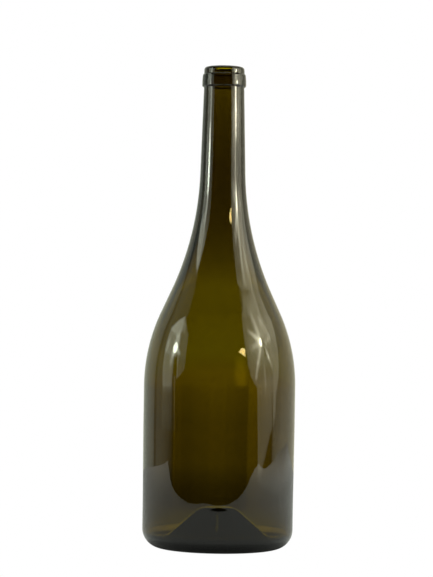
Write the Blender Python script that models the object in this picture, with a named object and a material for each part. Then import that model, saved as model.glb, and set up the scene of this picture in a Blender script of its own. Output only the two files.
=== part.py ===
"""Empty wine bottle of 1.5 litres, one piece of thick green glass.

Units are metres and +Z is up. The origin is the middle of the bottle's foot, on the surface it
stands on. The glass is one turned solid: its outline runs from the hollow under the foot, round
the heel, up the wall, the sloping shoulder and the long neck, over the cork finish, down the bore
and along the inside to the mound above the hollow.
"""

import math

import bmesh
import bpy

# Overall sizes
BOTTLE_HEIGHT = 0.356
BODY_RADIUS = 0.056
SIDES_ROUND = 64

# Body, shoulder and neck, outside
WAIST_RADIUS = 0.0556
WAIST_HEIGHT = 0.034
FULL_BODY_HEIGHT = 0.088
BODY_SWELL_BEND = 0.400
SHOULDER_CORNER_HEIGHT = 0.1478
SHOULDER_BEND = 0.129
SHOULDER_SLOPE = math.radians(24.5)
NECK_RADIUS_AT_FOOT = 0.01804
NECK_BEND = 0.225
NECK_TAPER = math.radians(1.62)

# Cork finish: the band under the lip, and the lip
BAND_BOTTOM = 0.3408
BAND_MIDDLE = 0.3452
BAND_TOP = 0.3502
BAND_RADIUS = 0.0163
BAND_TOP_RADIUS = 0.01595
BAND_SHELF_SLOPE = 0.0006
BAND_TOP_BEND = 0.0012
BAND_BOTTOM_BEND = 0.0015
BAND_SWELL_BEND = 0.012
BAND_ROOT_BEND = 0.0004
LIP_RADIUS = 0.01495
LIP_OUTER_BEND = 0.0023
LIP_INNER_BEND = 0.0005

# Inside
BODY_TOP_WALL = 0.0032
BODY_FOOT_WALL = 0.0040
SHOULDER_WALL = 0.0037
BORE_RADIUS = 0.0096
BORE_TAPER = math.radians(0.82)
INNER_SHOULDER_BEND = 0.126
INNER_NECK_BEND = 0.210
INNER_HEEL_BEND = 0.0060
INNER_FLOOR_HEIGHT = 0.0076
INNER_TROUGH_RADIUS = 0.0395
INNER_TROUGH_BEND = 0.0060
MOUND_HEIGHT = 0.0302
MOUND_TOP_RADIUS = 0.0125
MOUND_TOP_BEND = 0.0140

# Foot: the heel, the flat bearing ring and the conical hollow inside it
HEEL_BEND = 0.0141
HEEL_CORNER_RADIUS = 0.0556
BEARING_INNER_RADIUS = 0.0375
BEARING_INNER_BEND = 0.0030
PUNT_DEPTH = 0.0235
PUNT_TOP_RADIUS = 0.0085
PUNT_TOP_BEND = 0.0140

# How far a straight step of a bend may fall short of the true arc
BEND_TOLERANCE = 0.0001
WELD_DISTANCE = 0.000001


def slope_line_height(radius, slope, corner_radius, corner_height):
    """Height at which a line leaning inwards by slope from the vertical reaches a radius."""
    return corner_height + (corner_radius - radius) / math.tan(slope)


def bend_points(before, corner, after, bend_radius):
    """Points of the arc that rounds a corner between two straight runs."""
    to_before = (before[0] - corner[0], before[1] - corner[1])
    to_after = (after[0] - corner[0], after[1] - corner[1])
    before_length = math.hypot(*to_before)
    after_length = math.hypot(*to_after)
    to_before = (to_before[0] / before_length, to_before[1] / before_length)
    to_after = (to_after[0] / after_length, to_after[1] / after_length)
    between = math.acos(to_before[0] * to_after[0] + to_before[1] * to_after[1])
    turn = math.pi - between
    tangent_length = bend_radius / math.tan(between / 2)
    middle = (to_before[0] + to_after[0], to_before[1] + to_after[1])
    middle_length = math.hypot(*middle)
    centre_distance = bend_radius / math.sin(between / 2)
    centre = (
        corner[0] + middle[0] / middle_length * centre_distance,
        corner[1] + middle[1] / middle_length * centre_distance,
    )
    start = (corner[0] + to_before[0] * tangent_length, corner[1] + to_before[1] * tangent_length)
    spoke = (start[0] - centre[0], start[1] - centre[1])
    side = to_before[0] * to_after[1] - to_before[1] * to_after[0]
    direction = -1 if side > 0 else 1
    step_angle = 2 * math.acos(1 - BEND_TOLERANCE / bend_radius)
    steps = math.ceil(turn / step_angle)
    points = []
    for step in range(steps + 1):
        angle = direction * turn * step / steps
        points.append((
            centre[0] + spoke[0] * math.cos(angle) - spoke[1] * math.sin(angle),
            centre[1] + spoke[0] * math.sin(angle) + spoke[1] * math.cos(angle),
        ))
    return points


def rounded_outline(corners):
    """Outline through (radius, height, bend) corners, each with its own bend, or sharp at 0."""
    points = [corners[0][:2]]
    for before, corner, after in zip(corners, corners[1:], corners[2:]):
        if corner[2] > 0:
            points.extend(bend_points(before[:2], corner[:2], after[:2], corner[2]))
        else:
            points.append(corner[:2])
    points.append(corners[-1][:2])
    return points


def neck_radius_at(height):
    """Outside radius of the tapering neck."""
    foot = slope_line_height(NECK_RADIUS_AT_FOOT, SHOULDER_SLOPE, BODY_RADIUS, SHOULDER_CORNER_HEIGHT)
    return NECK_RADIUS_AT_FOOT - (height - foot) * math.tan(NECK_TAPER)


def outer_corners():
    """Corners of the outside, from the middle of the hollow under the foot up to the lip."""
    neck_foot = slope_line_height(NECK_RADIUS_AT_FOOT, SHOULDER_SLOPE, BODY_RADIUS, SHOULDER_CORNER_HEIGHT)
    return [
        (0.0, PUNT_DEPTH, 0),
        (PUNT_TOP_RADIUS, PUNT_DEPTH, PUNT_TOP_BEND),
        (BEARING_INNER_RADIUS, 0.0, BEARING_INNER_BEND),
        (HEEL_CORNER_RADIUS, 0.0, HEEL_BEND),
        (WAIST_RADIUS, WAIST_HEIGHT, BODY_SWELL_BEND),
        (BODY_RADIUS, FULL_BODY_HEIGHT, BODY_SWELL_BEND),
        (BODY_RADIUS, SHOULDER_CORNER_HEIGHT, SHOULDER_BEND),
        (NECK_RADIUS_AT_FOOT, neck_foot, NECK_BEND),
        (neck_radius_at(BAND_BOTTOM), BAND_BOTTOM, BAND_ROOT_BEND),
        (BAND_RADIUS, BAND_BOTTOM + BAND_SHELF_SLOPE, BAND_BOTTOM_BEND),
        (BAND_RADIUS, BAND_MIDDLE, BAND_SWELL_BEND),
        (BAND_TOP_RADIUS, BAND_TOP, BAND_TOP_BEND),
        (LIP_RADIUS, BAND_TOP + BAND_SHELF_SLOPE, BAND_ROOT_BEND),
        (LIP_RADIUS, BOTTLE_HEIGHT, LIP_OUTER_BEND),
    ]


def inner_corners():
    """Corners of the inside, from the bore's mouth down to the top of the mound."""
    body_inside = BODY_RADIUS - BODY_TOP_WALL
    slope_reach = SHOULDER_WALL / math.sin(SHOULDER_SLOPE)
    slope_start = SHOULDER_CORNER_HEIGHT - slope_reach
    shoulder_corner = slope_line_height(body_inside, SHOULDER_SLOPE, BODY_RADIUS, slope_start)
    lean = 1 / math.tan(SHOULDER_SLOPE)
    widening = math.tan(BORE_TAPER)
    neck_corner = (slope_start + (BODY_RADIUS - BORE_RADIUS - BOTTLE_HEIGHT * widening) * lean) / (
        1 - widening * lean
    )
    neck_inside = BORE_RADIUS + (BOTTLE_HEIGHT - neck_corner) * widening
    return [
        (BORE_RADIUS, BOTTLE_HEIGHT, LIP_INNER_BEND),
        (neck_inside, neck_corner, INNER_NECK_BEND),
        (body_inside, shoulder_corner, INNER_SHOULDER_BEND),
        (BODY_RADIUS - BODY_FOOT_WALL, INNER_FLOOR_HEIGHT, INNER_HEEL_BEND),
        (INNER_TROUGH_RADIUS, INNER_FLOOR_HEIGHT, INNER_TROUGH_BEND),
        (MOUND_TOP_RADIUS, MOUND_HEIGHT, MOUND_TOP_BEND),
        (0.0, MOUND_HEIGHT, 0),
    ]


def glass_material():
    """Deep olive green bottle glass."""
    material = bpy.data.materials.new("green_glass")
    material.use_nodes = True
    shader = material.node_tree.nodes["Principled BSDF"]
    shader.inputs["Base Color"].default_value = (0.16, 0.13, 0.015, 1.0)
    shader.inputs["Roughness"].default_value = 0.05
    shader.inputs["Metallic"].default_value = 0.0
    shader.inputs["IOR"].default_value = 1.52
    shader.inputs["Transmission Weight"].default_value = 0.6
    return material


def turned_solid(name, outline, material):
    """Closed solid made by turning an outline, whose two ends lie on the axis, round +Z."""
    shape = bmesh.new()
    vertices = [shape.verts.new((radius, 0.0, height)) for radius, height in outline]
    edges = [shape.edges.new(pair) for pair in zip(vertices, vertices[1:])]
    bmesh.ops.spin(
        shape,
        geom=vertices + edges,
        cent=(0.0, 0.0, 0.0),
        axis=(0.0, 0.0, 1.0),
        angle=2 * math.pi,
        steps=SIDES_ROUND,
        use_merge=True,
        use_duplicate=False,
    )
    bmesh.ops.remove_doubles(shape, verts=shape.verts[:], dist=WELD_DISTANCE)
    bmesh.ops.recalc_face_normals(shape, faces=shape.faces[:])
    mesh = bpy.data.meshes.new(name)
    shape.to_mesh(mesh)
    shape.free()
    mesh.shade_smooth()
    mesh.materials.append(material)
    solid = bpy.data.objects.new(name, mesh)
    bpy.context.scene.collection.objects.link(solid)
    return solid


def build_bottle():
    """The whole bottle, one piece of glass."""
    outline = rounded_outline(outer_corners() + inner_corners())
    return turned_solid("bottle", outline, glass_material())


for old_object in list(bpy.data.objects):
    bpy.data.objects.remove(old_object, do_unlink=True)

build_bottle()
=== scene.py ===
"""Looks of the empty wine bottle: clear deep olive glass in a plain white studio.

Units are metres, +Z is up and the bottle stands on the origin. The camera looks along +Y, so an
azimuth of 0 degrees is the side nearest to the camera and positive azimuths are on its right.
"""

import math

import bpy
from mathutils import Matrix, Vector


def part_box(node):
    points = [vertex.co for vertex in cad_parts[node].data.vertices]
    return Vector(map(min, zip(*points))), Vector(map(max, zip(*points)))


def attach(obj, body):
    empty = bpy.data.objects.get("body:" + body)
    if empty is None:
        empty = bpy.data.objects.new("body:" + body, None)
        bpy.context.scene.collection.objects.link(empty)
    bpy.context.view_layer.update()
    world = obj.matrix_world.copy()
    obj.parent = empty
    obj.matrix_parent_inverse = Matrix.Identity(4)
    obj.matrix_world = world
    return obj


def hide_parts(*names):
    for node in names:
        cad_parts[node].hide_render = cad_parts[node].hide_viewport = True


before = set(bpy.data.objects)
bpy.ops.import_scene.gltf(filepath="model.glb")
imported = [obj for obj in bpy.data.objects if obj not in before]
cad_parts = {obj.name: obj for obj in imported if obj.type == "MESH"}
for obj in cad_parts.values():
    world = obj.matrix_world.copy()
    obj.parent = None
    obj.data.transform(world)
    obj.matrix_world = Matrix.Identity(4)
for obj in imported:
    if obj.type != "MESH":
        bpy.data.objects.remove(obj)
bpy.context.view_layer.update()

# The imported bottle's own size
BOX_LOW, BOX_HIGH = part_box("bottle")
BOTTLE_HEIGHT = BOX_HIGH.z
BODY_RADIUS = BOX_HIGH.x

# Camera: picture height in pixels, place, focal length in pixels, and the photograph's small roll
PICTURE_HEIGHT = 577
CAMERA_PLACE = Vector((-0.0034, -1.6, 0.171))
FOCAL_PIXELS = 2159.0
HORIZON_ROW = 316.45
CAMERA_ROLL = 0.01544
SENSOR_SIZE = 36.0
NEAREST_SEEN = 0.05
FARTHEST_SEEN = 20.0

# How finely the glass is turned
SIDES_ROUND = 240
BEND_TOLERANCE = 0.000006

# Body, shoulder and neck, outside
WAIST_RADIUS = 0.0556
WAIST_HEIGHT = 0.034
FULL_BODY_HEIGHT = 0.088
BODY_SWELL_BEND = 0.400
SHOULDER_CORNER_HEIGHT = 0.1478
SHOULDER_BEND = 0.129
SHOULDER_SLOPE = math.radians(24.5)
NECK_RADIUS_AT_FOOT = 0.01804
NECK_BEND = 0.225
NECK_TAPER = math.radians(1.62)

# Cork finish: the band under the lip, and the lip
BAND_BOTTOM = 0.3408
BAND_MIDDLE = 0.3452
BAND_TOP = 0.3502
BAND_RADIUS = 0.0163
BAND_TOP_RADIUS = 0.01595
BAND_SHELF_SLOPE = 0.0006
BAND_TOP_BEND = 0.0012
BAND_BOTTOM_BEND = 0.0015
BAND_SWELL_BEND = 0.012
BAND_ROOT_BEND = 0.0004
LIP_RADIUS = 0.01495
LIP_OUTER_BEND = 0.0023
LIP_INNER_BEND = 0.0005

# Inside
BODY_TOP_WALL = 0.0032
BODY_FOOT_WALL = 0.0040
SHOULDER_WALL = 0.0037
BORE_RADIUS = 0.0096
BORE_TAPER = math.radians(0.82)
INNER_SHOULDER_BEND = 0.126
INNER_NECK_BEND = 0.210
INNER_HEEL_BEND = 0.0060
INNER_FLOOR_HEIGHT = 0.0076
INNER_TROUGH_RADIUS = 0.0395
INNER_TROUGH_BEND = 0.0060
MOUND_HEIGHT = 0.0302
MOUND_TOP_RADIUS = 0.0125
MOUND_TOP_BEND = 0.0140

# Foot: the heel, the flat bearing ring and the conical hollow inside it
HEEL_BEND = 0.0141
HEEL_CORNER_RADIUS = 0.0556
BEARING_INNER_RADIUS = 0.0375
BEARING_INNER_BEND = 0.0030
PUNT_DEPTH = 0.0235
PUNT_TOP_RADIUS = 0.0085
PUNT_TOP_BEND = 0.0140

# Glass: how fast it takes up red, green and blue light, per metre
GLASS_INDEX = 1.52
GLASS_DENSITY = 1400.0
GLASS_COLOUR = (0.741, 0.705, 0.071, 1.0)

# Studio: the floor that the camera sees, the table with its painted lamp light and painted shade and the
# lamp ring that only reflections see, and the round of table with its painted shadow and painted light that
# only shows through the glass
FLOOR_SIZE = 12.0
FLOOR_DROP = 0.0003
TABLE_DROP = 0.0006
TABLE_CORNERS = (
    (-0.30, 0.75), (-0.45, 0.69), (-0.66, 0.51), (-0.80, 0.25), (-0.86, 0.0), (-0.885, -0.15),
    (-0.67, -0.165), (-0.53, -0.20), (-0.40, -0.262), (-0.29, -0.317), (-0.15, -0.405), (-0.08, -0.415),
    (0.09, -0.412), (0.26, -0.423), (0.42, -0.447), (0.54, -0.466), (0.66, -0.464), (0.76, -0.42),
    (0.757, -0.31), (0.78, -0.24), (0.83, -0.165), (0.875, -0.08), (0.94, 0.01), (1.07, 0.20),
    (1.07, 0.75),
)
LAMP_RING_RADIUS = 0.66
LAMP_RING_TOP = 1.1
FOOT_SHADOW_RADIUS = 0.30
STAGE_SIDES_ROUND = 180

# Lamp places are in degrees and centimetres, and world places in degrees and hundredths of slope
CENTIMETRES = 100.0
HUNDREDTHS = 100.0

# Colours of the light from each side, from the table and from the small peach lamp
LEFT_TINT = (1.08, 1.17, 0.97)
RIGHT_TINT = (1.38, 1.34, 1.0)
TABLE_TINT = (1.05, 1.10, 1.0)
PEACH_TINT = (1.0, 0.74, 0.25)
PEACH_STRENGTH = 19.0
PEACH_LAMP_CORNERS = [(30.5, 36.5), (36.5, 40.5), (42.0, 38.5), (41.0, 30.5)]

# Brightness of the table sheet: painted lamp light across and along, and painted shade round the foot
TABLE_ACROSS = (
    (-0.895, 1.06), (-0.70, 0.92), (-0.50, 0.70), (-0.30, 0.56), (0.0, 0.52), (0.20, 0.58),
    (0.50, 0.88), (0.62, 1.18), (0.75, 1.22), (0.85, 1.10), (0.95, 0.95), (1.07, 0.75),
)
TABLE_ALONG = ((-0.44, 1.0), (0.10, 1.0), (0.40, 0.78), (0.75, 0.65))
TABLE_SHADE_NEAR_FOOT = (
    (0.0, 0.03), (0.048, 0.12), (0.056, 0.45), (0.062, 0.90), (0.08, 1.0), (0.16, 0.95), (0.4, 1.0),
)
# Painted shadow under the foot, then a painted brighter ring of table light, as seen through the glass
FOOT_SHADOW = (
    (0.0, 0.01), (0.054, 0.02), (0.060, 0.40), (0.072, 1.35), (0.11, 1.25), (0.15, 0.92),
    (0.20, 0.48), (0.30, 0.30),
)

# Brightness of the room by azimuth in degrees: low down, at the walls, and above them
ROOM_FLOOR = (
    (-180, 0.50), (-122, 0.52), (-117.5, 0.46), (-116, 0.18), (-112.5, 0.18), (-109.5, 0.36),
    (-95, 0.38), (-85, 0.25), (-74, 0.01), (64, 0.01), (87.5, 0.04), (90.5, 0.52), (96, 0.60),
    (110, 0.72), (130, 0.55), (180, 0.50),
)
ROOM_WALLS = (
    (-180, 0.52), (-122, 0.52), (-117.5, 0.44), (-116, 0.18), (-112.5, 0.18), (-109.5, 0.33),
    (-99, 0.38), (-96, 0.34), (-80, 0.30), (-75, 0.18), (-74, 0.01), (56, 0.01), (87.5, 0.03),
    (90, 0.40), (94, 0.42), (98, 0.40), (112, 0.50), (130, 0.50), (180, 0.52),
)
ROOM_ABOVE = (
    (-180, 0.50), (-110, 0.60), (-86, 0.50), (-78, 0.45), (-74, 0.01), (50, 0.01), (56, 0.40),
    (66, 0.70), (90, 0.70), (130, 0.50), (180, 0.50),
)
CEILING = 0.8

# Upward slopes at which the room turns from floor to walls, from walls to above, and to ceiling
WALLS_START = (-0.10, 0.0)
ABOVE_START = (0.60, 0.72)
CEILING_START = (0.78, 0.86)

# Brightness of the backdrop seen through the glass, by the degrees aside from the middle and by
# the upward slope of the line of sight
BACKDROP_ASIDE = ((0, 1.0), (2, 1.06), (5, 1.20), (10, 1.4), (20, 1.5), (60, 1.2), (90, 1.0))
BACKDROP_BY_SLOPE = (
    (-0.30, 0.05), (-0.17, 0.08), (-0.125, 0.12), (-0.0975, 0.26), (-0.0935, 0.24), (-0.090, 0.17),
    (-0.0772, 0.21), (-0.0747, 0.24), (-0.0726, 0.30), (-0.0693, 0.42), (-0.0655, 0.53),
    (-0.058, 0.51), (-0.050, 0.61), (-0.041, 0.70), (-0.0248, 0.77), (-0.0163, 0.83), (-0.0073, 1.0),
    (0.015, 1.15), (0.05, 1.17), (0.075, 1.22), (0.086, 1.36), (0.105, 1.72), (0.12, 1.9),
    (0.20, 1.6), (0.24, 0.03), (1.0, 0.02),
)
STEEP_BACKDROP = 0.7
STEEP_START = (-0.34, -0.44)

# Upright stripes low on the backdrop, by the degrees aside, and one small brighter streak
BACKDROP_STRIPES = (
    (-6.0, 1.0), (-3.9, 0.70), (-3.7, 0.70), (-3.6, 1.25), (-3.45, 1.25), (-3.35, 0.90),
    (-2.75, 0.95), (-2.6, 0.78), (-1.6, 0.78), (-1.5, 0.86), (-0.55, 0.88), (-0.4, 1.0), (0.45, 1.0),
    (0.6, 0.86), (1.0, 0.86), (1.15, 0.78), (2.0, 0.76), (2.12, 1.30), (2.9, 1.36), (3.4, 1.25),
    (6.0, 1.0),
)
STRIPES_START = (-0.012, -0.035)
AMBER_STREAK_MIDDLE = (1.5, -1.9)
AMBER_STREAK_REACH = (0.40, 1.1)
AMBER_STREAK_EDGE = 0.6
AMBER_STREAK_STRENGTH = 0.62

# The backdrop's colours, and the slopes between which one turns into the other
LOW_BACKDROP_TINT = (1.0, 0.89, 1.0)
HIGH_BACKDROP_TINT = (1.0, 1.06, 1.0)
HIGH_TINT_START = (-0.020, -0.004)


def slope_line_height(radius, slope, corner_radius, corner_height):
    """Height at which a line leaning inwards by slope from the vertical reaches a radius."""
    return corner_height + (corner_radius - radius) / math.tan(slope)


def right_of(direction):
    """Direction a quarter turn to the right, which on the outline points out of the glass."""
    return Vector((direction.y, -direction.x))


def bend_points(before, corner, after, bend_radius):
    """Points of the arc that rounds a corner between two straight runs, each with its normal."""
    to_before = (Vector(before) - Vector(corner)).normalized()
    to_after = (Vector(after) - Vector(corner)).normalized()
    between = to_before.angle(to_after)
    turn = math.pi - between
    tangent_length = bend_radius / math.tan(between / 2)
    centre = Vector(corner) + (to_before + to_after).normalized() * (bend_radius / math.sin(between / 2))
    spoke = Vector(corner) + to_before * tangent_length - centre
    side = to_before.x * to_after.y - to_before.y * to_after.x
    direction = -1 if side > 0 else 1
    facing = 1 if spoke.dot(right_of(-to_before)) > 0 else -1
    steps = math.ceil(turn / (2 * math.acos(1 - BEND_TOLERANCE / bend_radius)))
    points = []
    for step in range(steps + 1):
        turned_spoke = Matrix.Rotation(direction * turn * step / steps, 2) @ spoke
        points.append((centre + turned_spoke, turned_spoke.normalized() * facing))
    return points


def rounded_outline(corners):
    """Outline points with normals through (radius, height, bend) corners, from axis to axis."""
    points = [(Vector(corners[0][:2]), Vector((0.0, -1.0)))]
    for before, corner, after in zip(corners, corners[1:], corners[2:]):
        points.extend(bend_points(before[:2], corner[:2], after[:2], corner[2]))
    points.append((Vector(corners[-1][:2]), Vector((0.0, 1.0))))
    return points


def neck_radius_at(height):
    """Outside radius of the tapering neck."""
    foot = slope_line_height(NECK_RADIUS_AT_FOOT, SHOULDER_SLOPE, BODY_RADIUS, SHOULDER_CORNER_HEIGHT)
    return NECK_RADIUS_AT_FOOT - (height - foot) * math.tan(NECK_TAPER)


def outer_corners():
    """Corners of the outside, from the middle of the hollow under the foot up to the lip."""
    neck_foot = slope_line_height(NECK_RADIUS_AT_FOOT, SHOULDER_SLOPE, BODY_RADIUS, SHOULDER_CORNER_HEIGHT)
    return [
        (0.0, PUNT_DEPTH, 0),
        (PUNT_TOP_RADIUS, PUNT_DEPTH, PUNT_TOP_BEND),
        (BEARING_INNER_RADIUS, 0.0, BEARING_INNER_BEND),
        (HEEL_CORNER_RADIUS, 0.0, HEEL_BEND),
        (WAIST_RADIUS, WAIST_HEIGHT, BODY_SWELL_BEND),
        (BODY_RADIUS, FULL_BODY_HEIGHT, BODY_SWELL_BEND),
        (BODY_RADIUS, SHOULDER_CORNER_HEIGHT, SHOULDER_BEND),
        (NECK_RADIUS_AT_FOOT, neck_foot, NECK_BEND),
        (neck_radius_at(BAND_BOTTOM), BAND_BOTTOM, BAND_ROOT_BEND),
        (BAND_RADIUS, BAND_BOTTOM + BAND_SHELF_SLOPE, BAND_BOTTOM_BEND),
        (BAND_RADIUS, BAND_MIDDLE, BAND_SWELL_BEND),
        (BAND_TOP_RADIUS, BAND_TOP, BAND_TOP_BEND),
        (LIP_RADIUS, BAND_TOP + BAND_SHELF_SLOPE, BAND_ROOT_BEND),
        (LIP_RADIUS, BOTTLE_HEIGHT, LIP_OUTER_BEND),
    ]


def inner_corners():
    """Corners of the inside, from the bore's mouth down to the top of the mound."""
    body_inside = BODY_RADIUS - BODY_TOP_WALL
    slope_reach = SHOULDER_WALL / math.sin(SHOULDER_SLOPE)
    slope_start = SHOULDER_CORNER_HEIGHT - slope_reach
    shoulder_corner = slope_line_height(body_inside, SHOULDER_SLOPE, BODY_RADIUS, slope_start)
    lean = 1 / math.tan(SHOULDER_SLOPE)
    widening = math.tan(BORE_TAPER)
    neck_corner = (slope_start + (BODY_RADIUS - BORE_RADIUS - BOTTLE_HEIGHT * widening) * lean) / (
        1 - widening * lean
    )
    neck_inside = BORE_RADIUS + (BOTTLE_HEIGHT - neck_corner) * widening
    return [
        (BORE_RADIUS, BOTTLE_HEIGHT, LIP_INNER_BEND),
        (neck_inside, neck_corner, INNER_NECK_BEND),
        (body_inside, shoulder_corner, INNER_SHOULDER_BEND),
        (BODY_RADIUS - BODY_FOOT_WALL, INNER_FLOOR_HEIGHT, INNER_HEEL_BEND),
        (INNER_TROUGH_RADIUS, INNER_FLOOR_HEIGHT, INNER_TROUGH_BEND),
        (MOUND_TOP_RADIUS, MOUND_HEIGHT, MOUND_TOP_BEND),
        (0.0, MOUND_HEIGHT, 0),
    ]


def turned_piece(name, outline, material):
    """Closed piece made by turning an outline, whose two ends lie on the axis, round +Z."""
    vertices = [(0.0, 0.0, outline[0][0].y)]
    normals = [(0.0, 0.0, outline[0][1].y)]
    for point, normal in outline[1:-1]:
        for side in range(SIDES_ROUND):
            angle = 2 * math.pi * side / SIDES_ROUND
            vertices.append((point.x * math.cos(angle), point.x * math.sin(angle), point.y))
            normals.append((normal.x * math.cos(angle), normal.x * math.sin(angle), normal.y))
    vertices.append((0.0, 0.0, outline[-1][0].y))
    normals.append((0.0, 0.0, outline[-1][1].y))
    rings = len(outline) - 2
    last = len(vertices) - 1
    faces = []
    for side in range(SIDES_ROUND):
        after = (side + 1) % SIDES_ROUND
        faces.append((0, 1 + after, 1 + side))
        for ring in range(rings - 1):
            low = 1 + ring * SIDES_ROUND
            high = low + SIDES_ROUND
            faces.append((low + side, low + after, high + after, high + side))
        top = 1 + (rings - 1) * SIDES_ROUND
        faces.append((top + side, top + after, last))
    mesh = bpy.data.meshes.new(name)
    mesh.from_pydata(vertices, [], faces)
    mesh.shade_smooth()
    mesh.normals_split_custom_set_from_vertices(normals)
    mesh.materials.append(material)
    piece = bpy.data.objects.new(name, mesh)
    bpy.context.scene.collection.objects.link(piece)
    return piece


# Node building
def calculate(tree, operation, *values):
    """Math node on numbers or sockets, which gives its result's socket."""
    node = tree.nodes.new("ShaderNodeMath")
    node.operation = operation
    for place, value in enumerate(values):
        if isinstance(value, bpy.types.NodeSocket):
            tree.links.new(value, node.inputs[place])
        else:
            node.inputs[place].default_value = value
    return node.outputs[0]


def brightness_curve(tree, value, stops):
    """Brightness read off straight runs between (value, brightness) stops."""
    first = stops[0][0]
    last = stops[-1][0]
    strongest = max(brightness for place, brightness in stops)
    ramp = tree.nodes.new("ShaderNodeValToRGB")
    elements = ramp.color_ramp.elements
    while len(elements) < len(stops):
        elements.new(1.0)
    for element, (place, brightness) in zip(elements, stops):
        element.position = (place - first) / (last - first)
        share = brightness / strongest
        element.color = (share, share, share, 1.0)
    along = calculate(tree, "DIVIDE", calculate(tree, "SUBTRACT", value, first), last - first)
    tree.links.new(along, ramp.inputs["Fac"])
    return calculate(tree, "MULTIPLY", ramp.outputs["Color"], strongest)


def blend_values(tree, share, low, high):
    """Value that goes from low to high as the share goes from 0 to 1."""
    node = tree.nodes.new("ShaderNodeMix")
    node.data_type = "FLOAT"
    for socket, value in zip(node.inputs[:4], (share, None, low, high)):
        if isinstance(value, bpy.types.NodeSocket):
            tree.links.new(value, socket)
        elif value is not None:
            socket.default_value = value
    return node.outputs[0]


def rise(tree, value, start, end):
    """Smooth step from 0 at start to 1 at end, which falls where end is below start."""
    node = tree.nodes.new("ShaderNodeMapRange")
    node.interpolation_type = "SMOOTHSTEP"
    tree.links.new(value, node.inputs["Value"])
    low, high = min(start, end), max(start, end)
    node.inputs["From Min"].default_value = low
    node.inputs["From Max"].default_value = high
    node.inputs["To Min"].default_value = 0.0 if end > start else 1.0
    node.inputs["To Max"].default_value = 1.0 if end > start else 0.0
    return node.outputs["Result"]


def coordinates(tree, kind):
    """Sockets of the coordinates across, along and up, of one kind."""
    source = tree.nodes.new("ShaderNodeTexCoord")
    parts = tree.nodes.new("ShaderNodeSeparateXYZ")
    tree.links.new(source.outputs[kind], parts.inputs[0])
    return parts.outputs


def azimuth_of(tree, across, along):
    """Azimuth in degrees, 0 towards the camera and positive on its right."""
    towards = calculate(tree, "MULTIPLY", along, -1.0)
    return calculate(tree, "DEGREES", calculate(tree, "ARCTAN2", across, towards))


def distance_from_axis(tree, across, along):
    """Distance from the bottle's axis."""
    across_squared = calculate(tree, "POWER", across, 2.0)
    along_squared = calculate(tree, "POWER", along, 2.0)
    return calculate(tree, "SQRT", calculate(tree, "ADD", across_squared, along_squared))


def combine(tree, across, up):
    """Vector socket of a place on a lamp's own plane."""
    node = tree.nodes.new("ShaderNodeCombineXYZ")
    tree.links.new(across, node.inputs[0])
    tree.links.new(up, node.inputs[1])
    return node.outputs[0]


def vectors(tree, operation, first, second=None):
    """Vector math node on sockets or flat (across, up) places, which gives its result's socket."""
    node = tree.nodes.new("ShaderNodeVectorMath")
    node.operation = operation
    for place, value in enumerate((first, second)):
        if isinstance(value, bpy.types.NodeSocket):
            tree.links.new(value, node.inputs[place])
        elif value is not None:
            node.inputs[place].default_value = (value[0], value[1], 0.0)
    return node.outputs["Value" if operation in ("DOT_PRODUCT", "LENGTH") else "Vector"]


def glow_oval(tree, place, middle, reach, edge, strength):
    """Evenly bright oval of light whose rim fades over the edge's share of its reach."""
    node = tree.nodes.new("ShaderNodeVectorMath")
    node.operation = "DIVIDE"
    tree.links.new(vectors(tree, "SUBTRACT", place, middle), node.inputs[0])
    node.inputs[1].default_value = (reach[0], reach[1], 1.0)
    distance = vectors(tree, "LENGTH", node.outputs[0])
    return calculate(tree, "MULTIPLY", rise(tree, distance, 1.0 + edge, 1.0 - edge), strength)


def glow_streak(tree, place, start, end, widths, strengths):
    """Streak of light between two places, with its width and strength at each of them."""
    run = Vector(end) - Vector(start)
    offset = vectors(tree, "SUBTRACT", place, start)
    share = calculate(tree, "ADD", vectors(tree, "DOT_PRODUCT", offset, run / run.length_squared), 0.0)
    share.node.use_clamp = True
    nearest = combine(tree,
                      calculate(tree, "MULTIPLY", share, run.x),
                      calculate(tree, "MULTIPLY", share, run.y))
    aside = vectors(tree, "LENGTH", vectors(tree, "SUBTRACT", offset, nearest))
    width = calculate(tree, "MULTIPLY_ADD", share, widths[1] - widths[0], widths[0])
    strength = calculate(tree, "MULTIPLY_ADD", share, strengths[1] - strengths[0], strengths[0])
    light = rise(tree, calculate(tree, "DIVIDE", aside, width), 1.0, 0.0)
    return calculate(tree, "MULTIPLY", light, strength)


def glow_panel(tree, place, corners, softness, strength):
    """Panel of light inside corners that go clockwise, with soft sides."""
    inside = None
    for start, end in zip(corners, corners[1:] + corners[:1]):
        run = (Vector(end) - Vector(start)).normalized()
        inward = Vector((run.y, -run.x))
        reach = vectors(tree, "DOT_PRODUCT", place, inward)
        distance = calculate(tree, "SUBTRACT", reach, inward.dot(Vector(start)))
        inside = distance if inside is None else calculate(tree, "MINIMUM", inside, distance)
    return calculate(tree, "MULTIPLY", rise(tree, inside, -softness / 2, softness / 2), strength)


def tint_by_side(tree, azimuth):
    """Colour of the light from the left turning into that from the right, in front and behind."""
    across = calculate(tree, "SINE", calculate(tree, "RADIANS", azimuth))
    node = tree.nodes.new("ShaderNodeMix")
    node.data_type = "RGBA"
    tree.links.new(rise(tree, across, -0.5, 0.5), node.inputs["Factor"])
    node.inputs[6].default_value = LEFT_TINT + (1.0,)
    node.inputs[7].default_value = RIGHT_TINT + (1.0,)
    return node.outputs[2]


def sum_of(tree, values):
    """Sum of several sockets."""
    total = values[0]
    for value in values[1:]:
        total = calculate(tree, "ADD", total, value)
    return total


def empty_material(name):
    """New node material with its output node alone, and the tree."""
    material = bpy.data.materials.new(name)
    material.use_nodes = True
    tree = material.node_tree
    tree.nodes.clear()
    output = tree.nodes.new("ShaderNodeOutputMaterial")
    return material, tree, output


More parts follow.
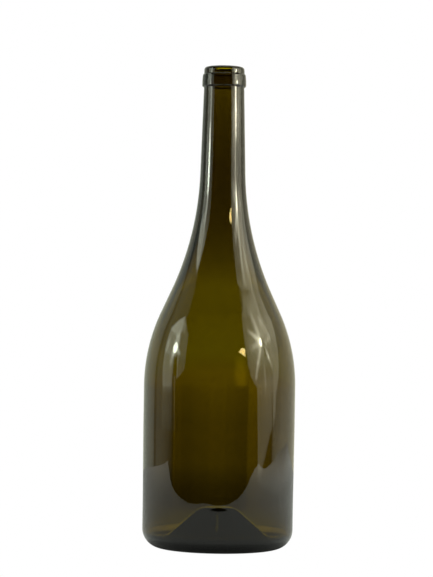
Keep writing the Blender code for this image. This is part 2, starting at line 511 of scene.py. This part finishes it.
# Materials
def glass_material():
    """Deep olive green bottle glass: clear, smooth, and darker where it is thicker."""
    material, tree, output = empty_material("olive_glass")
    shader = tree.nodes.new("ShaderNodeBsdfPrincipled")
    shader.inputs["Base Color"].default_value = (1.0, 1.0, 1.0, 1.0)
    shader.inputs["Roughness"].default_value = 0.0
    shader.inputs["IOR"].default_value = GLASS_INDEX
    shader.inputs["Transmission Weight"].default_value = 1.0
    absorption = tree.nodes.new("ShaderNodeVolumeAbsorption")
    absorption.inputs["Color"].default_value = GLASS_COLOUR
    absorption.inputs["Density"].default_value = GLASS_DENSITY
    tree.links.new(shader.outputs["BSDF"], output.inputs["Surface"])
    tree.links.new(absorption.outputs["Volume"], output.inputs["Volume"])
    return material


def floor_material():
    """Plain white floor."""
    material, tree, output = empty_material("white_floor")
    glow = tree.nodes.new("ShaderNodeEmission")
    glow.inputs["Color"].default_value = (1.0, 1.0, 1.0, 1.0)
    glow.inputs["Strength"].default_value = 1.0
    tree.links.new(glow.outputs["Emission"], output.inputs["Surface"])
    return material


def table_material():
    """Painted reflection of the white table: painted lamp light brighter near the lamps, painted shade
    under the bottle.
    """
    material, tree, output = empty_material("table_glow")
    across, along = coordinates(tree, "Object")[:2]
    from_axis = distance_from_axis(tree, across, along)
    brightness = calculate(tree, "MULTIPLY",
                           brightness_curve(tree, across, TABLE_ACROSS),
                           brightness_curve(tree, along, TABLE_ALONG))
    # Painted shade: the table sheet darkens towards the bottle's foot
    brightness = calculate(tree, "MULTIPLY", brightness,
                           brightness_curve(tree, from_axis, TABLE_SHADE_NEAR_FOOT))
    glow = tree.nodes.new("ShaderNodeEmission")
    glow.inputs["Color"].default_value = TABLE_TINT + (1.0,)
    tree.links.new(brightness, glow.inputs["Strength"])
    tree.links.new(glow.outputs["Emission"], output.inputs["Surface"])
    return material


def foot_shadow_material():
    """Table close to the bottle as it is seen through the glass: painted shadow under the foot, painted
    light in a ring beyond.
    """
    material, tree, output = empty_material("foot_shadow")
    across, along = coordinates(tree, "Object")[:2]
    from_axis = distance_from_axis(tree, across, along)
    glow = tree.nodes.new("ShaderNodeEmission")
    tree.links.new(brightness_curve(tree, from_axis, FOOT_SHADOW), glow.inputs["Strength"])
    tree.links.new(glow.outputs["Emission"], output.inputs["Surface"])
    return material


def left_lamp(tree, place):
    """Parts of the left lamp's light, with places in degrees across and centimetres up."""
    return [
        # Whole lamp, its lower right wing and its lower left part
        glow_panel(tree, place, [(-98, 30), (-98.5, 43), (-86, 56), (-76, 63.5), (-70, 60), (-57, 50),
                                 (-54.5, 36), (-54, 30)], 1.6, 0.75),
        glow_panel(tree, place, [(-68, 30), (-54, 30), (-53.5, 23), (-60, 17.5), (-66, 15.5)], 1.4, 0.55),
        glow_panel(tree, place, [(-97, 31), (-74, 31), (-75, 10), (-92.5, 10)], 2.0, 1.0),
        glow_panel(tree, place, [(-92.5, 12), (-74, 12), (-74, 6), (-93, 6)], 3.0, 0.20),
        # Brighter inside
        glow_panel(tree, place, [(-99, 44), (-86, 56.5), (-77, 63), (-73, 50), (-75, 43)], 3.0, 1.9),
        glow_panel(tree, place, [(-97, 30), (-97.5, 43), (-80, 43), (-77, 30)], 3.0, 0.7),
        glow_panel(tree, place, [(-76, 60), (-66, 57), (-66, 50), (-76, 50)], 4.0, 0.8),
        glow_oval(tree, place, (-93, 35), (2.6, 3.6), 0.6, 1.2),
        # Core and its spread
        glow_oval(tree, place, (-76.3, 35.8), (3.7, 4.2), 0.25, 14.0),
        glow_oval(tree, place, (-75.5, 39), (4.6, 7.5), 0.6, 3.4),
        glow_streak(tree, place, (-74, 36), (-66, 33), (4.0, 3.0), (7.0, 2.0)),
        glow_streak(tree, place, (-78, 33), (-80, 25), (4.5, 4.0), (4.0, 1.2)),
        glow_streak(tree, place, (-67.5, 30), (-65.5, 16), (2.2, 1.8), (1.0, 0.6)),
        glow_streak(tree, place, (-69.5, 16), (-69, 6), (1.8, 1.6), (0.7, 0.2)),
    ]


def right_lamp(tree, place):
    """Parts of the right lamp's light: a broad soft lamp with a star of rays in it."""
    star = (70, 42)
    return [
        # Whole lamp and its brighter zones
        glow_panel(tree, place, [(42.6, 26), (41, 45), (42, 60), (47, 79), (58, 79), (104, 60),
                                 (114, 44), (96, 14), (94, 10), (57, 10), (52, 13), (46.5, 18)], 2.4, 0.85),
        glow_panel(tree, place, [(56.4, 10), (92, 10), (91, 7.4), (65, 0.6), (59.8, 0.6)], 1.4, 0.64),
        glow_oval(tree, place, (75, 12.5), (10, 5), 0.7, 0.22),
        glow_panel(tree, place, [(47, 30), (46, 50), (50, 66), (92, 62), (94, 26), (52, 22)], 6.0, 0.30),
        glow_panel(tree, place, [(63, 44), (63, 74), (89, 67), (91, 44)], 5.0, 1.1),
        glow_oval(tree, place, (69, 42), (17, 11), 0.7, 0.9),
        glow_oval(tree, place, (98, 46), (10, 9), 0.7, 0.5),
        # Star of light
        glow_oval(tree, place, star, (2.2, 3.4), 0.3, 12.0),
        glow_streak(tree, place, star, (52, 56), (5.0, 4.0), (7.0, 1.2)),
        glow_streak(tree, place, star, (52, 40), (4.5, 4.5), (4.5, 1.0)),
        glow_streak(tree, place, star, (68.5, 68), (5.0, 5.0), (3.5, 1.2)),
        glow_streak(tree, place, star, (60, 28), (4.5, 4.0), (5.0, 2.0)),
        glow_streak(tree, place, (59, 27), (54.5, 17.5), (4.0, 3.0), (2.4, 1.6)),
        glow_streak(tree, place, (76.5, 36), (80, 30), (2.6, 3.4), (1.6, 2.6)),
        glow_streak(tree, place, (80, 30), (84, 24), (3.6, 3.6), (2.6, 1.0)),
        glow_streak(tree, place, (80, 40), (92, 41), (4.0, 4.0), (1.6, 1.4)),
        glow_oval(tree, place, (83, 56), (3.6, 4.6), 0.7, 1.3),
        glow_streak(tree, place, (70, 24), (70.5, 11), (2.6, 2.2), (0.9, 0.8)),
        # Darker lines beside the star and at the lamp's lower corner
        glow_streak(tree, place, (76, 39), (73.8, 31), (1.8, 1.4), (-1.8, -1.4)),
        glow_streak(tree, place, (84.2, 9.2), (85.2, 5.5), (1.3, 1.3), (-0.4, -0.9)),
    ]


def lamp_ring_material():
    """Clear ring with the lamps on it: a large soft lamp on each side and their bright cores."""
    material, tree, output = empty_material("lamp_glow")
    across, along, up = coordinates(tree, "Object")
    azimuth = azimuth_of(tree, across, along)
    place = combine(tree, azimuth, calculate(tree, "MULTIPLY", up, CENTIMETRES))
    lamps = left_lamp(tree, place) + right_lamp(tree, place)
    glow = tree.nodes.new("ShaderNodeEmission")
    tree.links.new(tint_by_side(tree, azimuth), glow.inputs["Color"])
    tree.links.new(calculate(tree, "MAXIMUM", sum_of(tree, lamps), 0.0), glow.inputs["Strength"])
    clear = tree.nodes.new("ShaderNodeBsdfTransparent")
    whole = tree.nodes.new("ShaderNodeAddShader")
    tree.links.new(glow.outputs[0], whole.inputs[0])
    tree.links.new(clear.outputs[0], whole.inputs[1])
    tree.links.new(whole.outputs[0], output.inputs["Surface"])
    return material


# Studio
def show_only_to(piece, camera=False, reflections=False, through_glass=False):
    """Limit a stage piece to one kind of sight, so that it lights and shades nothing else."""
    piece.visible_camera = camera
    piece.visible_glossy = reflections
    piece.visible_transmission = through_glass
    piece.visible_diffuse = False
    piece.visible_volume_scatter = False
    piece.visible_shadow = False
    for material in piece.data.materials:
        material.cycles.emission_sampling = "NONE"


def reflection_only(stage_piece):
    """A stage piece that only reflections see."""
    show_only_to(stage_piece, reflections=True)


def flat_piece(name, corners, height, material):
    """Flat sheet through corners given as (across, along)."""
    mesh = bpy.data.meshes.new(name)
    mesh.from_pydata([(across, along, height) for across, along in corners], [], [range(len(corners))])
    mesh.materials.append(material)
    piece = bpy.data.objects.new(name, mesh)
    bpy.context.scene.collection.objects.link(piece)
    return piece


def make_floor():
    """White floor that the camera sees."""
    half = FLOOR_SIZE / 2
    corners = ((-half, -half), (half, -half), (half, half), (-half, half))
    floor = flat_piece("floor", corners, -FLOOR_DROP, floor_material())
    show_only_to(floor, camera=True)


def make_foot_shadow():
    """Round of table under and near the bottle, with its painted shadow and light, that only shows through
    the glass.
    """
    corners = []
    for side in range(STAGE_SIDES_ROUND):
        angle = 2 * math.pi * side / STAGE_SIDES_ROUND
        corners.append((FOOT_SHADOW_RADIUS * math.cos(angle), FOOT_SHADOW_RADIUS * math.sin(angle)))
    shadow = flat_piece("foot_shadow", corners, -TABLE_DROP, foot_shadow_material())
    show_only_to(shadow, through_glass=True)


def make_lamp_ring():
    """Upright ring of light round the bottle."""
    points = []
    faces = []
    for side in range(STAGE_SIDES_ROUND):
        angle = 2 * math.pi * side / STAGE_SIDES_ROUND
        for height in (0.0, LAMP_RING_TOP):
            points.append((LAMP_RING_RADIUS * math.sin(angle), -LAMP_RING_RADIUS * math.cos(angle), height))
        after = (side + 1) % STAGE_SIDES_ROUND
        faces.append((2 * side, 2 * after, 2 * after + 1, 2 * side + 1))
    mesh = bpy.data.meshes.new("lamp_ring")
    mesh.from_pydata(points, [], faces)
    mesh.materials.append(lamp_ring_material())
    ring = bpy.data.objects.new("lamp_ring", mesh)
    bpy.context.scene.collection.objects.link(ring)
    reflection_only(ring)


def room_light(tree, azimuth, slope):
    """Shader of the room and the small peach lamp, by direction."""
    low = brightness_curve(tree, azimuth, ROOM_FLOOR)
    walls = brightness_curve(tree, azimuth, ROOM_WALLS)
    above = brightness_curve(tree, azimuth, ROOM_ABOVE)
    room = blend_values(tree, rise(tree, slope, *WALLS_START), low, walls)
    room = blend_values(tree, rise(tree, slope, *ABOVE_START), room, above)
    room = blend_values(tree, rise(tree, slope, *CEILING_START), room, CEILING)
    walls_light = tree.nodes.new("ShaderNodeBackground")
    tree.links.new(tint_by_side(tree, azimuth), walls_light.inputs["Color"])
    tree.links.new(room, walls_light.inputs["Strength"])
    place = combine(tree, azimuth, calculate(tree, "MULTIPLY", slope, HUNDREDTHS))
    peach = tree.nodes.new("ShaderNodeBackground")
    peach.inputs["Color"].default_value = PEACH_TINT + (1.0,)
    peach_glow = glow_panel(tree, place, PEACH_LAMP_CORNERS, 1.0, PEACH_STRENGTH)
    tree.links.new(peach_glow, peach.inputs["Strength"])
    both = tree.nodes.new("ShaderNodeAddShader")
    tree.links.new(walls_light.outputs[0], both.inputs[0])
    tree.links.new(peach.outputs[0], both.inputs[1])
    return both.outputs[0]


def backdrop_light(tree, across, along, azimuth, slope):
    """Shader of the backdrop behind the glass, by direction."""
    aside_of_middle = calculate(tree, "PINGPONG", azimuth, 90.0)
    backdrop = calculate(tree, "MULTIPLY",
                         brightness_curve(tree, aside_of_middle, BACKDROP_ASIDE),
                         brightness_curve(tree, slope, BACKDROP_BY_SLOPE))
    aside = calculate(tree, "DEGREES", calculate(tree, "ARCTAN2", across, along))
    stripes = blend_values(tree, rise(tree, slope, *STRIPES_START), 1.0,
                           brightness_curve(tree, aside, BACKDROP_STRIPES))
    place = combine(tree, aside, calculate(tree, "MULTIPLY", slope, HUNDREDTHS))
    streak = glow_oval(tree, place, AMBER_STREAK_MIDDLE, AMBER_STREAK_REACH, AMBER_STREAK_EDGE,
                       AMBER_STREAK_STRENGTH)
    backdrop = calculate(tree, "ADD", calculate(tree, "MULTIPLY", backdrop, stripes), streak)
    backdrop = blend_values(tree, rise(tree, slope, *STEEP_START), backdrop, STEEP_BACKDROP)
    light = tree.nodes.new("ShaderNodeBackground")
    tint = tree.nodes.new("ShaderNodeMix")
    tint.data_type = "RGBA"
    tree.links.new(rise(tree, slope, *HIGH_TINT_START), tint.inputs["Factor"])
    tint.inputs[6].default_value = LOW_BACKDROP_TINT + (1.0,)
    tint.inputs[7].default_value = HIGH_BACKDROP_TINT + (1.0,)
    tree.links.new(tint.outputs[2], light.inputs["Color"])
    tree.links.new(backdrop, light.inputs["Strength"])
    return light.outputs[0]


def mix_lights(tree, share, first, second):
    """Shader that is the first light where the share is 0 and the second where it is 1."""
    node = tree.nodes.new("ShaderNodeMixShader")
    for socket, value in zip(node.inputs, (share, first, second)):
        tree.links.new(value, socket)
    return node.outputs[0]


def make_world():
    """Plain white for the camera, and the room's brightness by direction for the glass."""
    world = bpy.data.worlds.new("studio")
    bpy.context.scene.world = world
    world.use_nodes = True
    tree = world.node_tree
    tree.nodes.clear()
    output = tree.nodes.new("ShaderNodeOutputWorld")
    white = tree.nodes.new("ShaderNodeBackground")
    white.inputs["Color"].default_value = (1.0, 1.0, 1.0, 1.0)
    across, along, slope = coordinates(tree, "Generated")
    azimuth = azimuth_of(tree, across, along)
    path = tree.nodes.new("ShaderNodeLightPath")
    whole = mix_lights(tree, path.outputs["Is Glossy Ray"],
                       white.outputs[0], room_light(tree, azimuth, slope))
    whole = mix_lights(tree, path.outputs["Is Transmission Ray"],
                       whole, backdrop_light(tree, across, along, azimuth, slope))
    tree.links.new(whole, output.inputs["Surface"])


def make_camera():
    """Camera at the photograph's height, with its pitch and roll."""
    data = bpy.data.cameras.new("camera")
    data.sensor_fit = "VERTICAL"
    data.sensor_height = SENSOR_SIZE
    data.lens = FOCAL_PIXELS / PICTURE_HEIGHT * SENSOR_SIZE
    data.clip_start = NEAREST_SEEN
    data.clip_end = FARTHEST_SEEN
    camera = bpy.data.objects.new("camera", data)
    pitch = math.atan((HORIZON_ROW - PICTURE_HEIGHT / 2) / FOCAL_PIXELS)
    ahead = Vector((0.0, math.cos(pitch), math.sin(pitch)))
    level_up = Vector((0.0, -math.sin(pitch), math.cos(pitch)))
    level_right = Vector((1.0, 0.0, 0.0))
    right = level_right * math.cos(CAMERA_ROLL) + level_up * math.sin(CAMERA_ROLL)
    up = level_up * math.cos(CAMERA_ROLL) - level_right * math.sin(CAMERA_ROLL)
    turn = Matrix((right, up, -ahead)).transposed()
    camera.matrix_world = Matrix.Translation(CAMERA_PLACE) @ turn.to_4x4()
    bpy.context.scene.collection.objects.link(camera)
    bpy.context.scene.camera = camera


# Glass
outline = rounded_outline(outer_corners() + inner_corners())
glass = turned_piece("bottle_glass", outline, glass_material())
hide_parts("bottle")
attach(glass, "root")

# Studio and camera
make_floor()
# Painted reflection of the lit table, with painted shade under the bottle
reflection_only(flat_piece("table_reflection", TABLE_CORNERS, -TABLE_DROP, table_material()))
make_foot_shadow()
make_lamp_ring()
make_world()
make_camera()
bpy.context.scene.view_settings.view_transform = "Standard"
bpy.context.scene.view_settings.look = "None"
